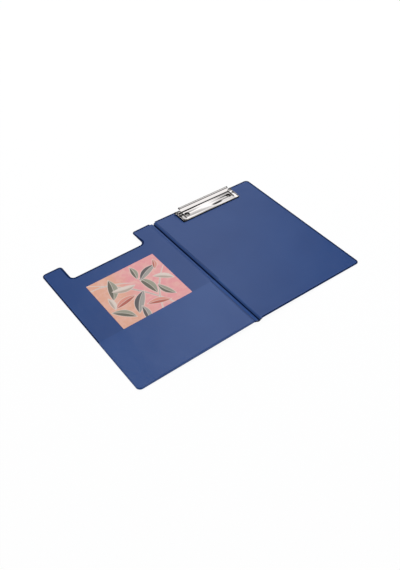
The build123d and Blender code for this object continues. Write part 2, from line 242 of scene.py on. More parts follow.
def ring_faces(ring_count, ring_size, flip=False):
    """Quads between each ring and the next, closed round, and a many-sided face on the first and last."""
    ring, spot = np.meshgrid(np.arange(ring_count - 1), np.arange(ring_size), indexing="ij")
    here = ring * ring_size + spot
    beside = ring * ring_size + (spot + 1) % ring_size
    quads = np.stack([here, here + ring_size, beside + ring_size, beside], axis=-1).reshape(-1, 4)
    faces = [list(quad) for quad in quads]
    faces.append(list(range(ring_size)))
    faces.append(list(range(ring_count * ring_size - 1, (ring_count - 1) * ring_size - 1, -1)))
    return [face[::-1] for face in faces] if flip else faces


def ease(t):
    """Smooth step from 0 to 1."""
    t = np.clip(t, 0, 1)
    return t * t * (3 - 2 * t)


def film_profile(level, top, thickness):
    """(inset, height) round a film's section: flat top, down over the board's edge, lip, and back inside."""
    fall = np.linspace(0, 1, fall_rows)
    flange = level + thickness
    over = np.stack([fall_end - fall_width * fall, top + (flange - top) * ease(fall)], axis=-1)
    turn = np.linspace(pi / 2, 0, lip_rows)
    lip = np.stack([1 - np.cos(turn), np.sin(turn) - 1], axis=-1) * lip_radius + (0, flange)
    start = rim_flat + flat_overlap
    flat = [(start, top), (rim_flat, top), (weld_width, top)]
    inside = [(0, level), (seam_end, level), (board_inset, top - thickness), (start, top - thickness)]
    return np.concatenate([flat, over, lip, inside])


def make_film(name, side, rim, flip_heights):
    """One film of a panel: its section carried round the rim, flat inside. The outer film is a mirror image.

    The lip's outer face (lighter, painted light), the seam's dark band (partly painted edge shade) and a
    smooth line of painted highlight inside the band have their own materials. The band is narrower on the
    near edges and on the cover's outer side.
    """
    profile = film_profile(seam_level, panel_thickness, film)
    _, _, signs, directions = rim
    out_x, out_y = directions.T
    facing = np.clip(np.clip(out_x, 0, 1) * (side < 0) + np.clip(-out_y, 0, 1), 0, 1) * (signs > 0)
    rings = []
    for inset, height in profile:
        narrower = (weld_width - narrow_weld_width) * facing if inset == weld_width else 0
        line = rim_at(rim, inset - narrower)
        height = panel_thickness - height if flip_heights else height
        rings.append(on_panel(side, line[:, 0], line[:, 1], height))
    ring_size = len(rings[0])
    piece = new_piece(name, np.array(rings), ring_faces(len(rings), ring_size, (side > 0) == flip_heights))
    for material in (film_blue, film_weld, film_smooth_lit, film_edge):
        piece.data.materials.append(material)
    middle = (profile[1:, 0] + profile[:-1, 0]) / 2
    places = [middle < outer_face_limit, middle < weld_width, middle < rim_flat]
    slot = np.select(places, [edge_slot, weld_slot, smooth_lit_slot], blue_slot)
    slots = np.append(np.repeat(slot, ring_size), [blue_slot, blue_slot]).astype(np.int32)
    piece.data.polygons.foreach_set("material_index", slots)
    return piece


def fit_range(tree, value, first, last, low=0.0, high=1.0, kind="LINEAR"):
    """A value brought from the range first to last into the range low to high, and held inside that."""
    links = {"Value": value, "From Min": first, "From Max": last, "To Min": low, "To Max": high}
    return node(tree, "MapRange", links, interpolation_type=kind).outputs[0]


def step(tree, value, first, last):
    """A smooth step in a value, from 0 at first to 1 at last."""
    return fit_range(tree, value, first, last, kind="SMOOTHSTEP")


def number(tree, operation, *parts):
    """One number out of others, by a Math node."""
    return node(tree, "Math", dict(enumerate(parts)), operation=operation).outputs[0]


def times(tree, first, *others):
    """The product of several numbers."""
    for other in others:
        first = number(tree, "MULTIPLY", first, other)
    return first


def most(tree, first, *others):
    """The highest of several numbers."""
    for other in others:
        first = number(tree, "MAXIMUM", first, other)
    return first


def near(tree, value, middle, inner, outer):
    """Mask that is 1 within inner of the middle value and 0 beyond outer of it."""
    off = number(tree, "ABSOLUTE", number(tree, "SUBTRACT", value, middle))
    return step(tree, off, outer, inner)


def make_pvc(name, dark, light, roughness, shade=None):
    """Blue PVC: broad drift between two blues, and a fine pressed grain over soft sags.

    shade takes the node tree and the colour, and gives the colour with its painted shade and a mask of
    grooves.
    """
    material, tree, shader = new_material(name)
    marks = speckle_node(tree, drift_scale=9.0, grain_scale=2600.0, grain_detail=4.0)
    sag = speckle_node(tree, drift_scale=26.0, grain_scale=90.0, grain_detail=1.0).outputs["Mask"]
    grain = marks.outputs["Grain"]
    colour = blend_colour(tree, fit_range(tree, marks.outputs["Mask"], *drift_range), dark, light)
    colour, grooves = shade(tree, colour) if shade else (colour, 0.0)
    normal = bump_normal(tree, grooves, strength=1.0, distance=groove_depth, invert=True)
    normal = bump_normal(tree, sag, strength=0.25, distance=0.002, under=normal)
    look = {
        "Base Color": colour,
        "Roughness": fit_range(tree, grain, 0.0, 1.0, roughness - grain_dip, roughness + grain_rise),
        "Specular IOR Level": film_specular,
        "Normal": bump_normal(tree, grain, strength=0.35, distance=0.00006, under=normal),
    }
    plug(tree, shader, look)
    return material


def make_weld():
    """The welded seam: the same blue, matt from the hot tool, whose fine ribs cross it.

    Its dark blue is partly the seam's own and partly painted shade along the panel's edge.
    """
    material, tree, shader = new_material("film_weld")
    marks = speckle_node(tree, drift_scale=40.0, grain_scale=2600.0, grain_detail=4.0)
    place = node(tree, "TexCoord").outputs["Object"]
    waves = {"Vector": place, "Scale": 420.0, "Distortion": 0.5}
    ribs = node(tree, "TexWave", waves, bands_direction="DIAGONAL")
    look = {
        "Base Color": blend_colour(tree, marks.outputs["Mask"], weld_and_shade_dark, weld_and_shade_light),
        "Roughness": fit_range(tree, marks.outputs["Grain"], 0.0, 1.0, low=0.6, high=0.8),
        "Specular IOR Level": weld_specular,
        "Normal": bump_normal(tree, ribs.outputs["Fac"], strength=0.4, distance=0.00005),
    }
    plug(tree, shader, look)
    return material


def shade_gutter(tree, colour):
    """The colour with painted shade down in the gutter and in the grooves along its sides, and the grooves'
    mask.
    """
    place = node(tree, "SeparateXYZ", {0: node(tree, "TexCoord").outputs["Object"]})
    across, along, rise = (place.outputs[axis] for axis in "XYZ")
    in_gutter = step(tree, number(tree, "ABSOLUTE", across), *gutter_reach)
    deep = times(tree, step(tree, rise, *gutter_depth), in_gutter)
    on_pocket = step(tree, along, *pocket_start)
    off_pocket = number(tree, "SUBTRACT", 1.0, on_pocket)
    pocket_line = times(tree, near(tree, across, *pocket_groove), on_pocket)
    bare_line = times(tree, near(tree, across, *bare_groove), bare_groove_share, off_pocket)
    back_line = times(tree, near(tree, across, *back_groove), step(tree, along, *back_groove_start))
    grooves = most(tree, pocket_line, bare_line, back_line)
    dark = most(tree, deep, times(tree, grooves, groove_shade_share))
    return blend_colour(tree, dark, colour, gutter_shade_colour), grooves


back_rim = rim_arcs(
    [
        ((0, -half_height), 0, 1, -90, -90),
        ((panel_width - panel_corner, -half_height + panel_corner), panel_corner, 1, -90, 0),
        ((panel_width - panel_corner, half_height - panel_corner), panel_corner, 1, 0, 90),
        ((0, half_height), 0, 1, 90, 90),
    ]
)
film_weld = make_weld()
film_blue = make_pvc(
    "film_blue", dark=(0.009, 0.046, 0.185, 1), light=(0.013, 0.055, 0.205, 1), roughness=0.36
)
# A lighter blue: painted highlight on the line inside the seam and on the gutter's films.
film_smooth_lit = make_pvc(
    "film_smooth_lit",
    dark=(0.011, 0.050, 0.195, 1),
    light=(0.015, 0.059, 0.215, 1),
    roughness=0.34,
    shade=shade_gutter,
)
# A lighter blue for the lip's outer face: painted light along the film's edge.
film_edge = make_pvc(
    "film_edge", dark=(0.030, 0.110, 0.380, 1), light=(0.040, 0.140, 0.460, 1), roughness=0.5
)
back_top_film = make_film("back_top_film", 1, back_rim, False)
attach(back_top_film, "back")
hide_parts("back_inner_film")
back_under_film = make_film("back_under_film", 1, back_rim, True)
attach(back_under_film, "back")
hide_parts("back_outer_film")

# Cover's films: the same PVC round the cover board. The notch in the top edge lets the clip through
# when the folder is shut, between an outer tab and a tab beside the gutter.
notch_far = 0.1904
notch_near = 0.0387
notch_bottom = half_height - 0.041
tab_corner = 0.006
notch_corner = 0.008
cover_rim = rim_arcs(
    [
        ((0, -half_height), 0, 1, -90, -90),
        ((panel_width - panel_corner, -half_height + panel_corner), panel_corner, 1, -90, 0),
        ((panel_width - panel_corner, half_height - panel_corner), panel_corner, 1, 0, 90),
        ((notch_far + tab_corner, half_height - tab_corner), tab_corner, 1, 90, 180),
        ((notch_far - notch_corner, notch_bottom + notch_corner), notch_corner, -1, 0, -90),
        ((notch_near + notch_corner, notch_bottom + notch_corner), notch_corner, -1, -90, -180),
        ((notch_near - tab_corner, half_height - tab_corner), tab_corner, 1, 0, 90),
        ((0, half_height), 0, 1, 90, 90),
    ]
)
cover_top_film = make_film("cover_top_film", -1, cover_rim, False)
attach(cover_top_film, "cover")
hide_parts("cover_inner_film")
cover_under_film = make_film("cover_under_film", -1, cover_rim, True)
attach(cover_under_film, "cover")
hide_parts("cover_outer_film")

# Gutter: the two films alone, welded along the middle, hang between the boards down to the table.
# On the cover's side they fall smoothly; on the back's side they rise steeply to a soft shoulder.
gutter_bottom = -half_height
gutter_top = half_height - 0.0034
valley_x = 0.0010
# The valley sways along the gutter by two waves: depth, pace in radians a metre, and phase.
sway_waves = ((0.00008, 61, 0), (0.00005, 143, 1))
sway_reach = 0.003
curve_steps = 6
tiny = 1e-6
bend_start = 0.0080
upper_path = [
    (-0.0090, 0.00588), (-0.0080, 0.00588), (-0.0066, 0.00562), (-0.0048, 0.00528), (-0.0028, 0.00492),
    (-0.0012, 0.00462), (-0.0005, 0.00380), (-0.0001, 0.00230), (0.0004, 0.00110), (0.0010, 0.00080),
    (0.0016, 0.00125), (0.0020, 0.00250), (0.0024, 0.00390), (0.0030, 0.00480), (0.0037, 0.00540),
    (0.0045, 0.00580), (0.0055, 0.00602), (0.0065, 0.00609), (0.0078, 0.00604), (0.0090, 0.00592),
]
lower_path = [
    (-0.0090, 0.00330), (-0.0074, 0.00332), (-0.0058, 0.00290), (-0.0032, 0.00160), (-0.0008, 0.00040),
    (0.0009, 0.00008), (0.0026, 0.00060), (0.0042, 0.00170), (0.0058, 0.00285), (0.0074, 0.00332),
    (0.0090, 0.00330),
]


def smooth_path(points, count):
    """A Catmull-Rom curve through the points, evenly spread over them: count points for each span."""
    points = np.array(points)
    padded = np.concatenate([[2 * points[0] - points[1]], points, [2 * points[-1] - points[-2]]])
    t = np.linspace(0, 1, count, endpoint=False)[:, None]
    before, start, end, after = (padded[i : len(padded) - 3 + i, None, :] for i in range(4))
    curve = 0.5 * (
        2 * start
        + (end - before) * t
        + (2 * before - 5 * start + 4 * end - after) * t**2
        + (3 * start - before - 3 * end + after) * t**3
    )
    return np.concatenate([curve.reshape(-1, 2), points[-1:]])


def make_strip(name, path, thickness, above, last_y, rows=48):
    """A film strip along Y from the gutter's bottom: a path in x and z, thickened above or below, closed.

    last_y is where the strip ends, as a number or as an array over the path.
    """
    slope = np.gradient(path, axis=0)
    normal = np.stack([-slope[:, 1], slope[:, 0]], axis=-1)
    normal /= np.linalg.norm(normal, axis=1)[:, None]
    other = path + normal * (thickness if above else -thickness)
    outer, inner = (other, path) if above else (path, other)
    section = np.concatenate([outer, inner[::-1]])
    last = np.broadcast_to(last_y, len(path))
    last = np.concatenate([last, last[::-1]])
    along = gutter_bottom + (last - gutter_bottom) * np.linspace(0, 1, rows)[:, None]
    sway = sum(depth * np.sin(along * pace + phase) for depth, pace, phase in sway_waves)
    calm = np.exp(-(((section[:, 0] - valley_x) / sway_reach) ** 2))
    x = section[:, 0] + sway * calm
    z = np.broadcast_to(section[:, 1], along.shape)
    return new_piece(name, np.stack([x, along, z], axis=-1), ring_faces(rows, len(section)))


def part_of(path, low, high):
    """The stretch of a path from x low to x high, with both ends exactly there."""
    inside = path[(path[:, 0] > low + tiny) & (path[:, 0] < high - tiny)]
    ends = [(x, np.interp(x, path[:, 0], path[:, 1])) for x in (low, high)]
    return np.concatenate([ends[:1], inside, ends[1:]])


upper_curve = smooth_path(upper_path, curve_steps)
lower_curve = smooth_path(lower_path, curve_steps)
for label, curve, cad_name in (
    ("top", upper_curve, "spine_inner_film"),
    ("under", lower_curve, "spine_outer_film"),
):
    above = label == "under"
    cover_strip = make_strip(f"gutter_{label}_cover", part_of(curve, -bend_start, 0), film, above, gutter_top)
    back_strip = make_strip(f"gutter_{label}_back", part_of(curve, 0, bend_start), film, above, gutter_top)
    for strip in (cover_strip, back_strip):
        strip.data.materials.append(film_smooth_lit)
        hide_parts(cad_name)
    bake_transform(cover_strip)
    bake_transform(back_strip)

# Pocket: a thinner PVC film over the lower part of the cover, welded into its seam on two sides and
# open along its top edge. Its tail lies over the gutter, and it swells a little over the sheet.
pocket_top = -0.0405
pocket_film = 0.00025
pocket_inset = 0.0003
sheet_near = 0.042
sheet_far = 0.1814
sheet_bottom = -0.156
sheet_top = 0.084
sheet_thickness = 0.0003
sheet_lay = 0.00003
swell_rise = 0.0003
swell_side_run = 0.026
swell_end_run = 0.0035
fall_steps = [0.0009, 0.0011, 0.0013, 0.0015, 0.0017, 0.0019]
low_rows = np.array([*fall_steps, 0.0025, 0.0033])
far_columns = np.array([0, 0.0006, *fall_steps, 0.0026, 0.0045, 0.006, 0.008])
far_run = 0.012
round_rows = 9
straight_rows = 60
row_digits = 7
wide_columns = 70
tail_end = 0.0057
tail_corner = 0.004
tail_corner_share = 0.98
tail_lift = 0.00002


def rim_distance(across, along):
    """How far each point lies inside the pocket's outer edge, whose one corner is an arc."""
    into_corner = across - (panel_width - panel_corner), -half_height + panel_corner - along
    in_corner = (into_corner[0] > 0) & (into_corner[1] > 0)
    straight = np.minimum(panel_width - across, along + half_height)
    return np.where(in_corner, panel_corner - np.hypot(*into_corner), straight)


def pocket_height(across, along):
    """The film's underside: up from the seam over the board's edge, then a soft swell over the sheet."""
    fall = ease((rim_distance(across, along) - (fall_end - fall_width)) / fall_width)
    off_side = np.maximum(sheet_near - across, across - sheet_far)
    swell = ease(1 - off_side / swell_side_run) * ease(1 - (sheet_bottom - along) / swell_end_run)
    low = seam_level + film
    return low + (panel_thickness + sheet_lay - low) * fall + swell_rise * swell


def slab_faces(columns, rows):
    """Faces of two grids of one size, the second above the first on the cover, and of the rim between."""
    column, row = np.meshgrid(np.arange(columns - 1), np.arange(rows - 1), indexing="ij")
    here = (column * rows + row).ravel()
    under = np.stack([here, here + rows, here + rows + 1, here + 1], axis=-1)
    shift = columns * rows
    edge = np.concatenate(
        [
            np.arange(columns) * rows,
            (columns - 1) * rows + np.arange(1, rows),
            np.arange(columns - 2, -1, -1) * rows + rows - 1,
            np.arange(rows - 2, 0, -1),
        ]
    )
    beside = np.roll(edge, -1)
    rim = np.stack([edge, edge + shift, beside + shift, beside], axis=-1)
    return np.concatenate([under, under[:, ::-1] + shift, rim]).tolist()


def make_pocket():
    """A height field over a grid that follows the pocket's outline, with a second one a film above it."""
    turn = np.linspace(0, pi / 2, round_rows)
    corner = panel_corner - pocket_inset
    bottom = -half_height + pocket_inset
    round_corner = bottom + corner * (1 - np.cos(turn))
    straight_on = np.linspace(bottom + panel_corner, pocket_top, straight_rows)
    along = np.concatenate([round_corner, low_rows - half_height, straight_on])
    along = np.unique(along.round(row_digits))
    depth = np.clip(1 - (along - bottom) / corner, 0, 1)
    reach = panel_width - panel_corner + corner * np.sqrt(1 - depth**2)
    even = np.linspace(0, 1 - far_run / panel_width, wide_columns)
    share = np.unique(np.concatenate([even, 1 - far_columns / panel_width]))
    across = share[:, None] * reach[None, :]
    along = np.broadcast_to(along, across.shape)
    under = pocket_height(across, along)
    points = [on_panel(-1, across, along, height) for height in (under, under + pocket_film)]
    return new_piece("pocket", np.stack(points), slab_faces(*across.shape))


# The pocket's blue is lighter than the cover's: painted light, for the brighter light on the lower cover.
film_pocket = make_pvc(
    "film_pocket",
    dark=(0.012, 0.054, 0.208, 1),
    light=(0.017, 0.066, 0.235, 1),
    roughness=0.32,
    shade=shade_gutter,
)
pocket = make_pocket()
pocket.data.materials.append(film_pocket)
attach(pocket, "cover")
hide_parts("pocket_film")

tail_curve = upper_curve + np.array([0, tail_lift])
tail_path = part_of(tail_curve, 0, tail_end)
from_corner = np.clip(tail_path[:, 0] - (tail_end - tail_corner), 0, tail_corner * tail_corner_share)
tail_drop = tail_corner - np.sqrt(tail_corner**2 - from_corner**2)
cover_path = part_of(tail_curve, -bend_start, 0)
tail_cover = make_strip("pocket_tail_cover", cover_path, pocket_film, True, pocket_top)
tail_back = make_strip("pocket_tail_back", tail_path, pocket_film, True, pocket_top - tail_drop)
for strip in (tail_cover, tail_back):
    strip.data.materials.append(film_pocket)
    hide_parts("spine_pocket_film")
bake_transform(tail_cover)
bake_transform(tail_back)

# Printed sheet: smooth card, cut square, standing in the pocket with its upper part in view.
# The print is a generic one of leaves on bent twigs, in grey-green and rust over a peach and pink wash.
sheet_width = sheet_far - sheet_near
sheet_height = sheet_top - sheet_bottom
sheet_columns = 60
sheet_rows = 100
wave_depth = 0.00012
wave_pace_across = 52
wave_pace_along = 31
pink_range = (55.0, 82.0)
wash_range = (0.45, 0.75)
ripple_reach = 26.0
leaf_rim_width = 0.8
leaf_rib_half = 0.35
leaf_lit_edge = 2.0
peach = (0.74, 0.39, 0.28, 1)
pink = (0.77, 0.33, 0.34, 1)
wash_colour = (0.80, 0.50, 0.42, 1)
leaf_rim = (0.76, 0.66, 0.60, 1)
grey_green = ((0.150, 0.140, 0.110, 1), (0.330, 0.320, 0.250, 1))
slate = ((0.120, 0.110, 0.110, 1), (0.360, 0.340, 0.310, 1))
rust = ((0.460, 0.130, 0.100, 1), (0.700, 0.290, 0.230, 1))
cream = ((0.460, 0.370, 0.310, 1), (0.720, 0.620, 0.550, 1))
# Each twig or leaf: its centre in millimetres from the sheet's lower left corner, its turn in radians,
# its half length, half width and bow in millimetres, and the colours of its dark and its lit half.
twigs_and_leaves = [
    ((60, 165), -0.62, 84, 1.1, 13, slate),
    ((104, 150), 0.55, 58, 0.9, -8, slate),
    ((30, 214), -1.25, 34, 0.8, 5, slate),
    ((30, 206), 0.35, 26, 8.5, 4, grey_green),
    ((50, 196), -1.35, 21, 6.5, -3, cream),
    ((58, 150), 0.70, 27, 8.5, -4, slate),
    ((36, 166), -1.75, 22, 7.0, 3, rust),
    ((88, 176), -0.15, 25, 8.0, 4, grey_green),
    ((106, 204), 1.15, 24, 7.5, -4, slate),
    ((122, 178), -0.85, 19, 6.0, 3, cream),
    ((84, 218), 0.15, 17, 5.5, 2, grey_green),
    ((110, 150), -0.35, 20, 6.0, -3, grey_green),
    ((18, 142), -0.75, 22, 7.0, 4, grey_green),
    ((82, 132), -1.20, 21, 6.5, 3, rust),
    ((14, 176), 0.10, 15, 4.5, 2, cream),
    ((126, 216), 0.45, 13, 4.0, 2, rust),
    ((48, 122), 0.25, 20, 6.0, 3, slate),
]


def make_sheet_mesh():
    """A grid over the sheet with a slight wave, closed below at its thickness, with UVs from 0 to 1."""
    across = np.linspace(sheet_near, sheet_far, sheet_columns)
    along = np.linspace(sheet_bottom, sheet_top, sheet_rows)
    across, along = np.meshgrid(across, along, indexing="ij")
    share = ease((along - pocket_top) / (sheet_top - pocket_top))
    wave = np.sin(across * wave_pace_across + 1) * np.cos(along * wave_pace_along)
    wave = wave_depth * (1 + wave) * share
    base = panel_thickness + sheet_lay
    points = [on_panel(-1, across, along, base + lift + wave) for lift in (0, sheet_thickness)]
    piece = new_piece("printed_sheet", np.stack(points), slab_faces(sheet_columns, sheet_rows))
    uv = piece.data.uv_layers.new(name="sheet")
    corners = np.empty(len(piece.data.loops), int)
    piece.data.loops.foreach_get("vertex_index", corners)
    plan = np.stack([1 - (across - sheet_near) / sheet_width, (along - sheet_bottom) / sheet_height], axis=-1)
    plan = np.tile(plan.reshape(-1, 2), (2, 1))
    uv.data.foreach_set("uv", plan[corners].ravel())
    return piece


def vector(tree, operation, *parts):
    """A vector out of others, by a Vector Math node."""
    return node(tree, "VectorMath", dict(enumerate(parts)), operation=operation).outputs[0]


def soft_edge(tree, value, half_edge=0.35):
    """Mask of the places where a value in millimetres is above zero, with a soft edge."""
    return fit_range(tree, value, -half_edge, half_edge)


def make_leaf_group():
    """Masks of a leaf at a place on the sheet, in millimetres: the blade, its rim and rib, and its lit half.

    Across the leaf, the blade reaches width * (1 - (along / length)^2) to each side of a rib bent by bow.
    """
    inputs = {"Place": None, "Centre": None, "Turn": 0.0, "Length": 20.0, "Width": 6.0, "Bow": 0.0}
    sockets = [(label, "Vector" if value is None else "Float", value) for label, value in inputs.items()]
    outputs = [(label, "Float") for label in ("Blade", "Rim", "Lit")]
    group, ends_in, ends_out = new_group("leaf", sockets, outputs)
    place, centre, turn, length, width, bow = (ends_in.outputs[label] for label in inputs)
    pivot = {"Vector": place, "Center": centre, "Angle": turn}
    turned = node(group, "VectorRotate", pivot, rotation_type="Z_AXIS")
    offset = node(group, "SeparateXYZ", {0: vector(group, "SUBTRACT", turned.outputs[0], centre)})
    share = number(group, "DIVIDE", offset.outputs["Y"], length)
    taper = number(group, "SUBTRACT", 1.0, times(group, share, share))
    from_rib = number(group, "SUBTRACT", offset.outputs["X"], times(group, bow, taper))
    beside = number(group, "ABSOLUTE", from_rib)
    depth = number(group, "SUBTRACT", times(group, width, taper), beside)
    blade = soft_edge(group, depth)
    blade_and_rim = soft_edge(group, number(group, "ADD", depth, leaf_rim_width))
    rim = number(group, "SUBTRACT", blade_and_rim, blade)
    rib = times(group, soft_edge(group, number(group, "SUBTRACT", leaf_rib_half, beside)), blade)
    lit = times(group, soft_edge(group, from_rib, leaf_lit_edge), blade)
    plug(group, ends_out, {"Blade": blade, "Rim": most(group, rim, rib), "Lit": lit})
    return group


leaf_group = make_leaf_group()
print_card, tree, shader = new_material("print_card")
sheet_uv = node(tree, "UVMap", uv_map="sheet").outputs["UV"]
in_mm = vector(tree, "MULTIPLY", sheet_uv, (sheet_width * 1000, sheet_height * 1000, 0))
ripple = node(tree, "TexNoise", {"Vector": in_mm, "Scale": 0.045, "Detail": 2.0}).outputs["Color"]
bend = vector(tree, "MULTIPLY", ripple, (ripple_reach, ripple_reach, 0))
bent = vector(tree, "ADD", in_mm, bend)
across_print = node(tree, "SeparateXYZ", {0: bent}).outputs["X"]
colour = blend_colour(tree, fit_range(tree, across_print, *pink_range), peach, pink)
wash = node(tree, "TexNoise", {"Vector": bent, "Scale": 0.06, "Detail": 5.0, "Roughness": 0.7}).outputs["Fac"]
colour = blend_colour(tree, fit_range(tree, wash, *wash_range), colour, wash_colour)
for centre, turn, length, width, bow, (dark_half, lit_half) in twigs_and_leaves:
    shape = {"Turn": turn, "Length": length, "Width": width, "Bow": bow}
    leaf = node(tree, "Group", {"Place": in_mm, "Centre": (*centre, 0), **shape}, node_tree=leaf_group)
    colour = blend_colour(tree, leaf.outputs["Blade"], colour, dark_half)
    colour = blend_colour(tree, leaf.outputs["Lit"], colour, lit_half)
    colour = blend_colour(tree, leaf.outputs["Rim"], colour, leaf_rim)
paper = speckle_node(tree, drift_scale=40.0, grain_scale=3500.0).outputs["Grain"]
mottle = fit_range(tree, paper, 0.0, 1.0, low=0.86, high=1.1)
print_look = {
    "Base Color": blend_colour(tree, 1.0, colour, mottle, "MULTIPLY"),
    "Normal": bump_normal(tree, paper, strength=0.15, distance=0.00003),
    "Roughness": 0.5,
}
plug(tree, shader, print_look)
printed_sheet = make_sheet_mesh()
printed_sheet.data.materials.append(print_card)
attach(printed_sheet, "sheet")
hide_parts("pocket_sheet")

# Clip's base plate and rivets: nickel-plated steel, 1 mm thick, flat on the board with an ear at each
# end for the rod. Two rivets go through the board and are rolled over on the outside.
# The dark colour of the jaw's painted shade and painted dark reflections.
painted_shade_colour = (0.022, 0.021, 0.022, 1)
worn_share = 0.82
fleck_range = (0.55, 0.8)
smudge_range = (0.35, 0.7)
smudge_rise = 0.08


def make_plating(name, tint, roughness, streaks, dent, painted_shade_places=None, formed=None):
    """Bright plating: smudges in its roughness, fine flecks, and long shallow waves from the press.

    streaks is how many waves there are in a metre along each axis, and dent how deep they are.
    A mask taken from the node tree, where one is given, darkens the colour with painted shade and painted
    dark reflection, and formed gives the normal of a surface with finer shapes than the mesh has.
    """
    material, tree, shader = new_material(name)
    marks = speckle_node(tree, drift_scale=60.0, grain_scale=900.0, grain_detail=5.0)
    worn = tuple(worn_share * part for part in tint[:3]) + (1,)
    colour = blend_colour(tree, fit_range(tree, marks.outputs["Grain"], *fleck_range), tint, worn)
    if painted_shade_places:
        colour = blend_colour(tree, painted_shade_places(tree), colour, painted_shade_colour)
    place = node(tree, "TexCoord").outputs["Object"]
    stretched = vector(tree, "MULTIPLY", place, streaks)
    waves = node(tree, "TexNoise", {"Vector": stretched, "Scale": 1.0, "Detail": 0.0}).outputs["Fac"]
    smudges = fit_range(tree, marks.outputs["Mask"], *smudge_range, roughness, roughness + smudge_rise)
    under = formed(tree) if formed else None
    look = {
        "Base Color": colour,
        "Roughness": smudges,
        "Normal": bump_normal(tree, waves, strength=1.0, distance=dent, under=under),
        "Metallic": 1.0,
    }
    plug(tree, shader, look)
    return material


# Its tint is darker than the jaw's: painted shade, for where it shows under the jaw.
base_nickel = make_plating(
    "base_nickel", tint=(0.50, 0.48, 0.46, 1), roughness=0.34, streaks=(30.0, 30.0, 30.0), dent=0.0010
)
rivet_nickel = make_plating(
    "rivet_nickel", tint=(0.62, 0.60, 0.58, 1), roughness=0.34, streaks=(300.0, 300.0, 300.0), dent=0.0006
)
paint_node("clip_base", base_nickel)
paint_node("clip_rivet_left", rivet_nickel)
paint_node("clip_rivet_right", rivet_nickel)

# Clip's jaw: one pressed plate of the same steel, with a rolled lip that holds the paper, two holes
# over the rivets, slots beside its dished wings, and a lever that ends in a hollow rolled bead.
jaw_middle = 0.1190
panel_normal = (sin(tilt), 0.0, cos(tilt))
film_level = panel_thickness + fold_x * sin(tilt) + fold_z * cos(tilt)
# The steps and lines below place the jaw's painted shade and dark reflections.
# A line is its middle, its half width and where it has faded; the rest are the two ends of a soft step.
low_rise = (film_level + 0.0052, film_level + 0.0044)
side_lean = (0.90, 0.78)
lever_start = (0.1500, 0.1475)
crease_line = (half_height - 0.0131, 0.0006, 0.0012)
slot_line = (0.0584, 0.0012, 0.0018)
slot_start = (0.1275, 0.1285)
rivet_place = (0.0510, 0.1361)
hole_reach = (0.0068, 0.0060)
hole_dark = 0.15
seam_line = (0.1513, 0.00028, 0.00060)
seam_dark = 0.9
bead_end = (0.0582, 0.0586)
bead_start = (0.1502, 0.1508)
plate_lean = (0.87, 0.92)
bar_start = (half_height - 0.0296, half_height - 0.0312)
bar_ease = 0.8
wing_start = (0.0590, 0.0596)
wing_bend = (0.0622, 0.0668)
wing_lean = (0.06, 0.28)
dent_across = (0.018, 0.002, 0.016)
dent_along = (0.1306, 0.0006, 0.0030)
dent_lean = -0.36


def dot(tree, first, second):
    """How far one vector points along another."""
    return node(tree, "VectorMath", {0: first, 1: second}, operation="DOT_PRODUCT").outputs["Value"]


def jaw_places(tree):
    """Where a point lies on the jaw: x off its middle, and y; and how far its normal leans up."""
    sight = node(tree, "TexCoord")
    parts = node(tree, "SeparateXYZ", {0: sight.outputs["Object"]})
    off_middle = number(tree, "SUBTRACT", parts.outputs["X"], jaw_middle)
    return off_middle, parts.outputs["Y"], dot(tree, sight.outputs["Normal"], panel_normal)


def jaw_edges(tree):
    """Mask of painted shade and painted dark reflection: sides, crease, slots' and holes' edges, the bead's
    seam.
    """
    off_middle, along, lean = jaw_places(tree)
    off = number(tree, "ABSOLUTE", off_middle)
    rise = dot(tree, node(tree, "TexCoord").outputs["Object"], panel_normal)
    low = step(tree, rise, *low_rise)
    sides = times(tree, step(tree, lean, *side_lean), low, step(tree, along, *lever_start))
    crease = near(tree, along, *crease_line)
    slots = times(tree, near(tree, off, *slot_line), step(tree, along, *slot_start), low)
    from_rivet = [number(tree, "SUBTRACT", *pair) for pair in zip((off, along), rivet_place)]
    squares = [number(tree, "POWER", part, 2.0) for part in from_rivet]
    from_rivet = number(tree, "SQRT", number(tree, "ADD", *squares))
    holes = times(tree, step(tree, from_rivet, *hole_reach), hole_dark)
    seam = times(tree, near(tree, along, *seam_line), seam_dark)
    bead_ends = times(tree, step(tree, off, *bead_end), step(tree, along, *bead_start))
    return most(tree, sides, crease, slots, holes, seam, bead_ends)


def jaw_normal(tree):
    """The normal with the front bar's bend eased, the wings dished inwards, and a dent in front."""
    off_middle, along, lean = jaw_places(tree)
    off = number(tree, "ABSOLUTE", off_middle)
    on_plate = step(tree, lean, *plate_lean)
    on_bar = times(tree, step(tree, along, *bar_start), on_plate, bar_ease)
    flat = node(tree, "NewGeometry").outputs["Normal"]
    eased = node(tree, "Mix", {"Factor": on_bar, 4: flat, 5: panel_normal}, data_type="VECTOR").outputs[1]
    dish = fit_range(tree, off, *wing_bend, *wing_lean, "SMOOTHSTEP")
    inwards = times(tree, number(tree, "SIGN", off_middle), -1.0)
    dish = times(tree, dish, step(tree, off, *wing_start), inwards, on_plate)
    dent = times(tree, near(tree, off_middle, *dent_across), near(tree, along, *dent_along), dent_lean)
    lean_by = node(tree, "CombineXYZ", {"X": dish, "Y": dent}).outputs[0]
    return vector(tree, "NORMALIZE", vector(tree, "ADD", eased, lean_by))


jaw_nickel = make_plating(
    "jaw_nickel",
    tint=(0.91, 0.875, 0.86, 1),
    roughness=0.07,
    streaks=(13.0, 90.0, 30.0),
    dent=0.0028,
    painted_shade_places=jaw_edges,
    formed=jaw_normal,
)
paint_node("clip_jaw", jaw_nickel)

# Rod and torsion springs: the jaw turns on a bright rod with headed ends. Two springs of drawn wire
# are wound on it, one leg on the base plate and one behind the lever, and wind up as the jaw opens.
clip_across = 0.1119
rod_from_edge = 0.007
rod_height = 0.0033
coil_radius = 0.00165
coil_turns = 3.25
coil_pitch = 0.00135
coil_steps = 28
coil_from_middle = 0.027
wire_radius = 0.0004
wire_sides = 14
base_leg = 0.004
lever_leg = 0.0042
leg_steps = 4
rod_level = panel_thickness + rod_height
wind = 0.0011


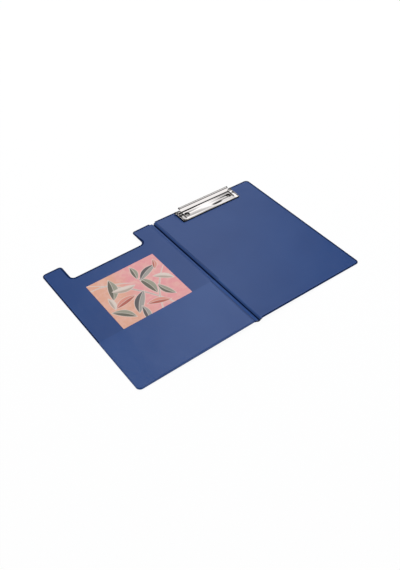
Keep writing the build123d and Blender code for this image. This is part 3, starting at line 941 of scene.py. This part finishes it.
def make_spring(name, side):
    """Wire round a helix about the rod: legs run on straight from both ends along the helix's tangents."""
    coil = np.linspace(0, 2 * pi * coil_turns, int(coil_steps * coil_turns))
    legs = np.linspace(0, 1, leg_steps + 1)[1:]
    angle = np.concatenate([np.zeros(leg_steps), coil, np.full(leg_steps, coil[-1])])
    run_on = np.concatenate([-base_leg * legs[::-1], np.zeros(len(coil)), lever_leg * legs])
    start = coil_from_middle - coil_pitch * coil_turns / 2
    rise = coil_pitch / (2 * pi)
    outward = np.stack([np.zeros(len(angle)), -np.sin(angle), -np.cos(angle)], axis=-1)
    onward = np.stack([np.zeros(len(angle)), -np.cos(angle), np.sin(angle)], axis=-1)
    tangent = coil_radius * onward + np.array([rise, 0, 0])
    tangent /= np.linalg.norm(tangent, axis=1)[:, None]
    beside = np.cross(tangent, outward)
    centre = coil_radius * outward + tangent * run_on[:, None]
    centre[:, 0] += start + rise * angle
    turn = np.linspace(0, 2 * pi, wire_sides, endpoint=False)[None, :, None]
    wire = centre[:, None] + wire_radius * (np.cos(turn) * outward[:, None] + np.sin(turn) * beside[:, None])
    x, y, z = (wire[..., axis] for axis in range(3))
    points = on_panel(1, clip_across + side * x, half_height - rod_from_edge + y, rod_level + z)
    return new_piece(name, points, ring_faces(len(angle), wire_sides, side > 0))


# The rod's dark tint is painted shade, for its ends in the shadow of the lever.
rod_steel = make_plating(
    "rod_steel", tint=(0.20, 0.20, 0.20, 1), roughness=0.25, streaks=(90.0, 300.0, 300.0), dent=0.0002
)
spring_wire = make_plating(
    "spring_wire", tint=(0.42, 0.42, 0.42, 1), roughness=0.28, streaks=(400.0, 400.0, 400.0), dent=0.0001
)
paint_node("clip_rod", rod_steel)
rod_place = clip_across, half_height - rod_from_edge
below, above = (on_panel(1, *rod_place, rod_level + off) for off in (-wind, wind))
for label, side in (("left", -1), ("right", 1)):
    spring = make_spring(f"spring_{label}", side)
    spring.data.materials.append(spring_wire)
    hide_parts(f"clip_spring_{label}")
    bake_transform(spring)

# Studio: a pale floor under the folder, which keeps its soft shadow, and white paper all round.
# The plating and film mirror a dark ceiling, a bright strip beyond the folder and two bright walls.
floor_half = 6.0
floor_glow = 0.93
fill_strength = 0.56
strip_strength = 1.42
# The mirrored room, by the direction looked in: the two ends of a soft step across, up or to the front.
strip_sides = (0.27, 0.0)
strip_trim = (0.225, 0.145)
strip_top = (0.95, 0.80)
strip_foot = (0.50, 0.70)
strip_foot_share = 0.5
strip_front = (0.0, -0.3)
wall_top = (0.85, 0.60)
right_wall = (0.35, 0.65)
left_wall = (-0.72, -0.90)
left_wall_share = 0.6
room_dark = 0.04
white = (1, 1, 1, 1)
camera_azimuth = radians(-35.6155)
behind_camera = (sin(camera_azimuth), -cos(camera_azimuth), 0.0)
beside_camera = (cos(camera_azimuth), sin(camera_azimuth), 0.0)


def ray_is(tree, *kinds):
    """1 for rays of one of these kinds, and 0 for all other rays."""
    rays = node(tree, "LightPath")
    return most(tree, *(rays.outputs[f"Is {kind} Ray"] for kind in kinds))


floor_corners = floor_half * np.array([(-1, -1, 0), (1, -1, 0), (1, 1, 0), (-1, 1, 0)])
floor = new_piece("floor", floor_corners, [[0, 1, 2, 3]])
floor_white, tree, shader = new_material("floor_white")
tree.nodes.remove(shader)
glow_share = times(tree, ray_is(tree, "Camera", "Glossy", "Transmission"), floor_glow)
matt = node(tree, "BsdfDiffuse", {"Color": (0.95, 0.95, 0.95, 1)})
glow = node(tree, "Emission", {"Color": white, "Strength": 1.0})
floor_mix = node(tree, "MixShader", {0: glow_share, 1: matt.outputs[0], 2: glow.outputs[0]})
plug(tree, tree.nodes["Material Output"], {"Surface": floor_mix.outputs[0]})
floor.data.materials.append(floor_white)

world = bpy.data.worlds.new("studio")
bpy.context.scene.world = world
world.use_nodes = True
tree = world.node_tree
fill = tree.nodes["Background"]
plug(tree, fill, {"Color": (0.95, 0.97, 1.0, 1), "Strength": fill_strength})
facing = node(tree, "TexCoord").outputs["Generated"]
height = node(tree, "SeparateXYZ", {0: facing}).outputs["Z"]
to_front = dot(tree, facing, behind_camera)
to_side = dot(tree, facing, beside_camera)
off_strip = number(tree, "ABSOLUTE", to_side)
strip = times(
    tree,
    step(tree, off_strip, *strip_sides),
    step(tree, off_strip, *strip_trim),
    step(tree, height, *strip_top),
    fit_range(tree, height, *strip_foot, strip_foot_share, 1.0, "SMOOTHSTEP"),
    step(tree, to_front, *strip_front),
    strip_strength,
)
under_ceiling = step(tree, height, *wall_top)
right_part = times(tree, under_ceiling, step(tree, to_side, *right_wall))
left_part = times(tree, under_ceiling, step(tree, to_side, *left_wall), left_wall_share)
room_grey = most(tree, strip, right_part, left_part, room_dark)
room = node(tree, "Background", {"Color": white, "Strength": room_grey})
backdrop = node(tree, "Background", {"Color": white, "Strength": 1.0})
room_or_fill = node(tree, "MixShader", {0: ray_is(tree, "Glossy"), 1: fill.outputs[0], 2: room.outputs[0]})
direct = ray_is(tree, "Camera", "Transmission")
room_mix = node(tree, "MixShader", {0: direct, 1: room_or_fill.outputs[0], 2: backdrop.outputs[0]})
plug(tree, tree.nodes["World Output"], {"Surface": room_mix.outputs[0]})

# Softbox: a long one hangs beyond the folder, opposite the camera, and leans over it.
# It gives light and shadow, and isn't mirrored.
softbox_elevation = radians(50)
softbox_distance = 4.5
softbox = bpy.data.objects.new("softbox", bpy.data.lights.new("softbox", "AREA"))
softbox.data.shape = "RECTANGLE"
softbox.data.size = 1.9
softbox.data.size_y = 3.8
softbox.data.energy = 138.0
away = -Vector(behind_camera) * cos(softbox_elevation) + Vector((0, 0, sin(softbox_elevation)))
softbox.location = away * softbox_distance
softbox.rotation_euler = away.to_track_quat("Z", "Y").to_euler()
softbox.visible_glossy = False
bpy.context.scene.collection.objects.link(softbox)

# Camera: stands in front of the cover and looks down along both boards. Its place, angles and lens
# were fitted to the straight edges of both panels in the photo.
camera_elevation = radians(44.2149)
camera_roll = radians(-1.4072)
camera_shift = Vector((0.0974692, 0.0584743, 1.1294478))
lens_mm = 43.0796
backward = Vector(behind_camera) * cos(camera_elevation) + Vector((0, 0, sin(camera_elevation)))
level_right = (-backward).cross(Vector((0, 0, 1))).normalized()
level_up = level_right.cross(-backward)
right = level_right * cos(camera_roll) + level_up * sin(camera_roll)
up = -level_right * sin(camera_roll) + level_up * cos(camera_roll)
stand = -(right * camera_shift.x - up * camera_shift.y - backward * camera_shift.z)
stand += Vector((0, -half_height, fold_z))
turned = Matrix((right, up, backward)).transposed()
camera = bpy.data.objects.new("camera", bpy.data.cameras.new("camera"))
camera.data.sensor_width = 36.0
camera.data.lens = lens_mm
camera.data.clip_start = 0.01
camera.data.clip_end = 50.0
camera.matrix_world = Matrix.Translation(stand) @ turned.to_4x4()
bpy.context.scene.collection.objects.link(camera)
bpy.context.scene.camera = camera
bpy.context.scene.view_settings.view_transform = "Standard"
